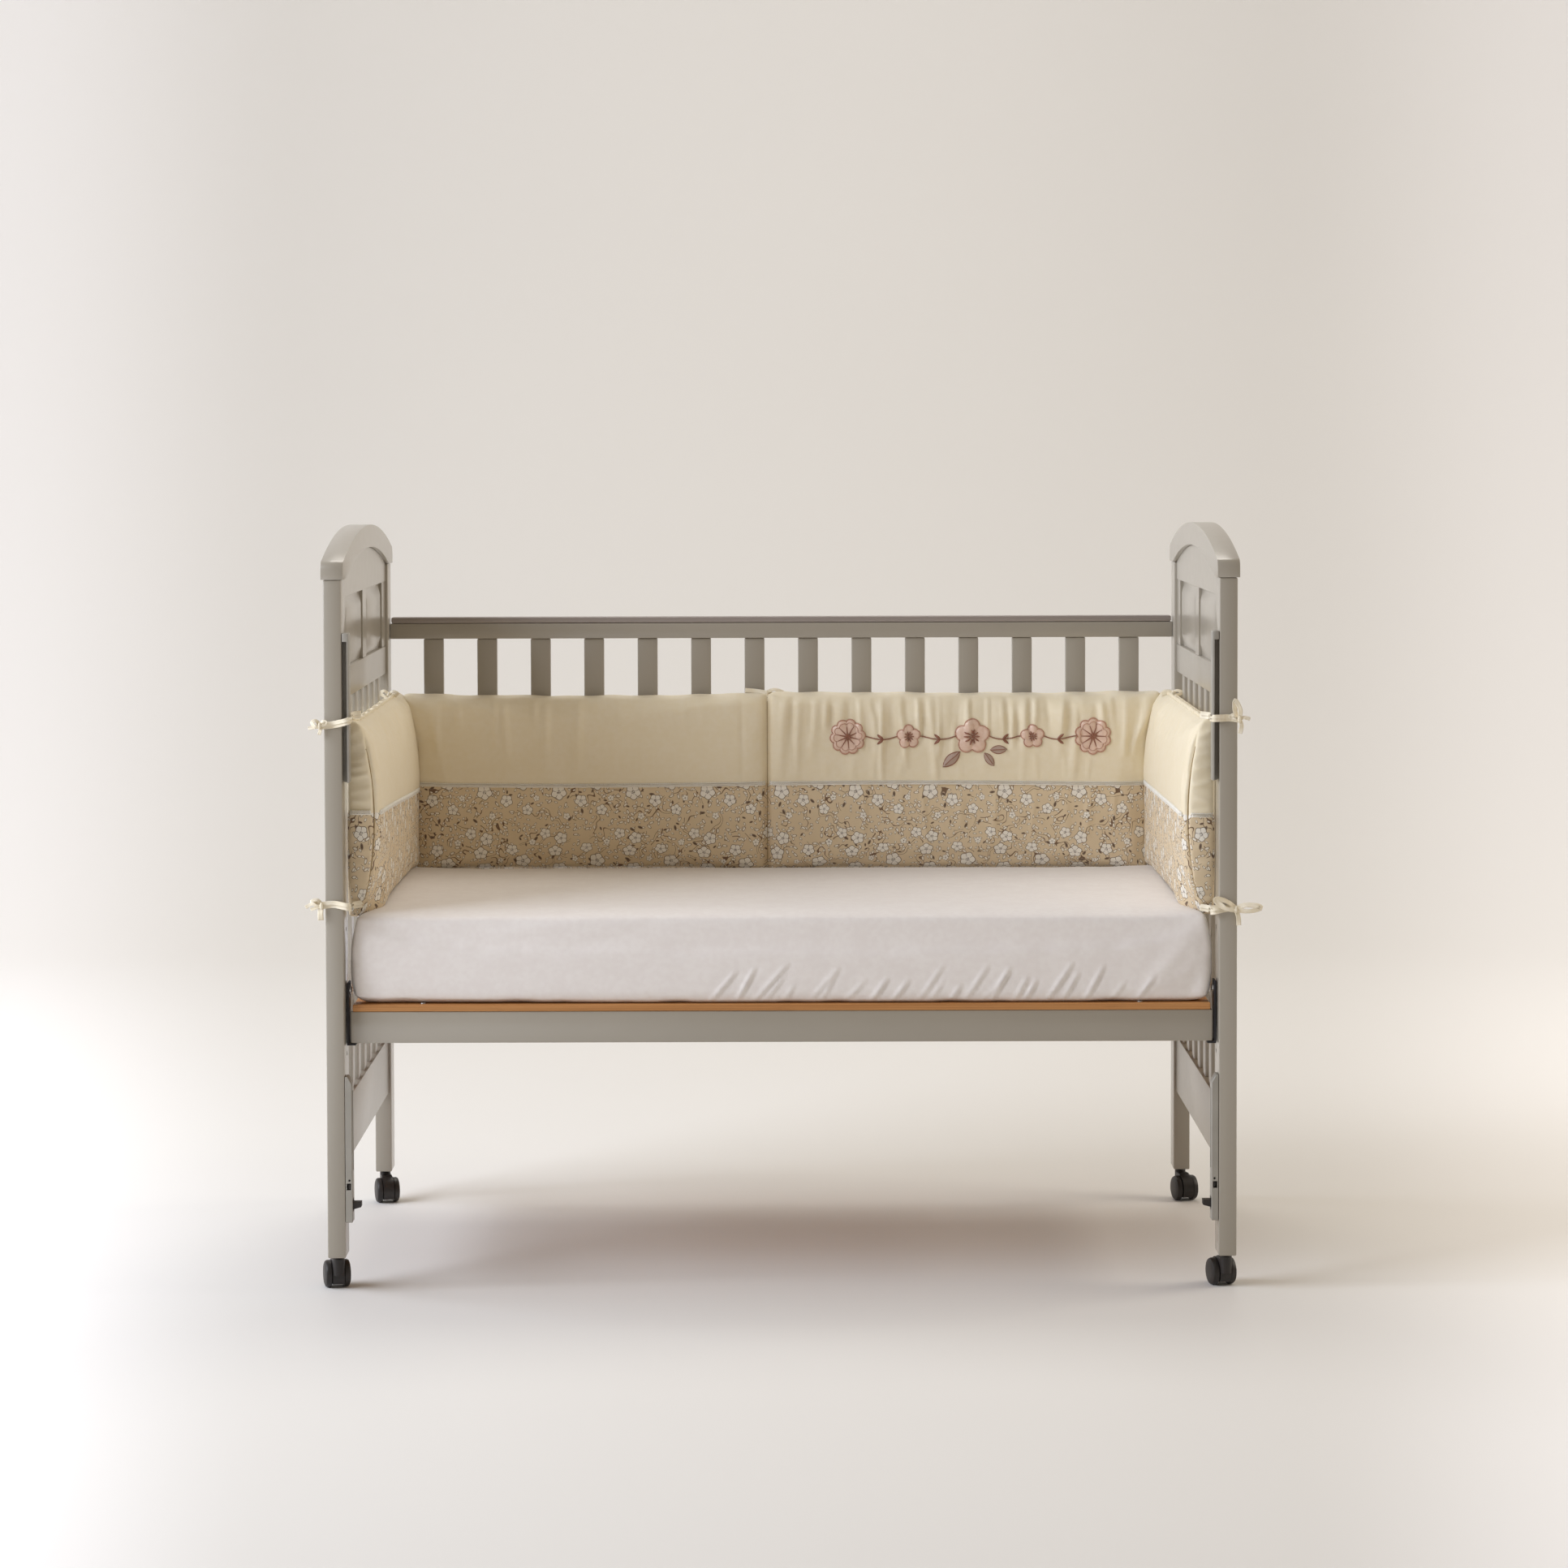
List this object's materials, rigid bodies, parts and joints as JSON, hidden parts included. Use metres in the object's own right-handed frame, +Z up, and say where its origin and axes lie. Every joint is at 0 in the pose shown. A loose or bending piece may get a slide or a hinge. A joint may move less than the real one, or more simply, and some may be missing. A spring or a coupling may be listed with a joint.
{
  "type": "baby crib",
  "caption": "Open-front wooden baby cot with arched panelled ends, slatted back, height-set base, mattress, padded bumper and swivel casters.",
  "frame": {"origin": "on the floor, under the middle of the cot's bounding box", "axes": "+X along the cot's length to the right, +Y from the open front to the slatted back, +Z up"},
  "size_m": [1.2902, 0.663, 1.0603],
  "materials": {
    "grey_paint": "satin grey lacquer on beech and fibreboard",
    "strip_paint": "satin mauve-grey lacquer",
    "track_plastic": "grey moulded nylon, lightly textured",
    "plywood": "clear-varnished plywood",
    "black_steel": "black powder coat",
    "zinc": "bright zinc plating",
    "black_plastic": "black moulded nylon with a soft sheen",
    "white_jersey": "white cotton jersey fitted sheet over foam",
    "cream_cotton": "cream cotton sateen over a beige flower print, over wadding"
  },
  "bodies": {
    "frame": {"arch_board_left": "grey_paint", "arch_board_right": "grey_paint", "arch_cap_left": "grey_paint", "arch_cap_right": "grey_paint", "back_bottom_rail": "grey_paint", "back_slat_01": "grey_paint", "back_slat_02": "grey_paint", "back_slat_03": "grey_paint", "back_slat_04": "grey_paint", "back_slat_05": "grey_paint", "back_slat_06": "grey_paint", "back_slat_07": "grey_paint", "back_slat_08": "grey_paint", "back_slat_09": "grey_paint", "back_slat_10": "grey_paint", "back_slat_11": "grey_paint", "back_slat_12": "grey_paint", "back_slat_13": "grey_paint", "back_slat_14": "grey_paint", "back_top_rail": "grey_paint", "back_top_strip": "strip_paint", "base_board": "plywood", "base_hanger_back_left": "black_steel", "base_hanger_back_right": "black_steel", "base_hanger_front_left": "black_steel", "base_hanger_front_right": "black_steel", "base_rail_back": "grey_paint", "base_rail_front": "grey_paint", "bumper_back": "cream_cotton", "bumper_left": "cream_cotton", "bumper_right": "cream_cotton", "end_grille_left": "grey_paint", "end_grille_right": "grey_paint", "hanger_bolt_back_left": "zinc", "hanger_bolt_back_right": "zinc", "hanger_bolt_front_left": "zinc", "hanger_bolt_front_right": "zinc", "lower_track_left": "track_plastic", "lower_track_right": "track_plastic", "mattress": "white_jersey", "mid_rail_left": "grey_paint", "mid_rail_right": "grey_paint", "panel_insert_left": "grey_paint", "panel_insert_right": "grey_paint", "post_back_left": "grey_paint", "post_back_right": "grey_paint", "post_front_left": "grey_paint", "post_front_right": "grey_paint", "upper_track_left": "track_plastic", "upper_track_right": "track_plastic"},
    "swivel_front_left": {"caster_hood_front_left": "black_plastic"},
    "wheels_front_left": {"caster_wheels_front_left": "black_plastic"},
    "swivel_front_right": {"caster_hood_front_right": "black_plastic"},
    "wheels_front_right": {"caster_wheels_front_right": "black_plastic"},
    "swivel_back_left": {"caster_hood_back_left": "black_plastic"},
    "wheels_back_left": {"caster_wheels_back_left": "black_plastic"},
    "swivel_back_right": {"caster_hood_back_right": "black_plastic"},
    "wheels_back_right": {"caster_wheels_back_right": "black_plastic"},
    "lever_left": {"release_lever_left": "black_plastic"},
    "lever_right": {"release_lever_right": "black_plastic"}
  },
  "joints": [
    {"name": "swivel_front_left", "type": "hinge", "parent": "frame", "child": "swivel_front_left", "pos_m": [-0.6195, -0.3075, 0.045], "axis": [0, 0, 1], "continuous": true},
    {"name": "roll_front_left", "type": "hinge", "parent": "swivel_front_left", "child": "wheels_front_left", "pos_m": [-0.62416, -0.29011, 0.019], "axis": [0.9659, 0.2588, 0], "continuous": true},
    {"name": "swivel_front_right", "type": "hinge", "parent": "frame", "child": "swivel_front_right", "pos_m": [0.6195, -0.3075, 0.045], "axis": [0, 0, 1], "continuous": true},
    {"name": "roll_front_right", "type": "hinge", "parent": "swivel_front_right", "child": "wheels_front_right", "pos_m": [0.61484, -0.29011, 0.019], "axis": [0.9659, 0.2588, 0], "continuous": true},
    {"name": "swivel_back_left", "type": "hinge", "parent": "frame", "child": "swivel_back_left", "pos_m": [-0.6195, 0.3075, 0.045], "axis": [0, 0, 1], "continuous": true},
    {"name": "roll_back_left", "type": "hinge", "parent": "swivel_back_left", "child": "wheels_back_left", "pos_m": [-0.61484, 0.29011, 0.019], "axis": [-0.9659, -0.2588, 0], "continuous": true},
    {"name": "swivel_back_right", "type": "hinge", "parent": "frame", "child": "swivel_back_right", "pos_m": [0.6195, 0.3075, 0.045], "axis": [0, 0, 1], "continuous": true},
    {"name": "roll_back_right", "type": "hinge", "parent": "swivel_back_right", "child": "wheels_back_right", "pos_m": [0.62416, 0.29011, 0.019], "axis": [-0.9659, -0.2588, 0], "continuous": true},
    {"name": "release_left", "type": "hinge", "parent": "frame", "child": "lever_left", "pos_m": [-0.6012, -0.3185, 0.157], "axis": [0, 1, 0], "range_deg": [0, 5], "stiffness_Nm_per_rad": 0.05},
    {"name": "release_right", "type": "hinge", "parent": "frame", "child": "lever_right", "pos_m": [0.6012, -0.3185, 0.157], "axis": [0, -1, 0], "range_deg": [0, 5], "stiffness_Nm_per_rad": 0.05}
  ]
}
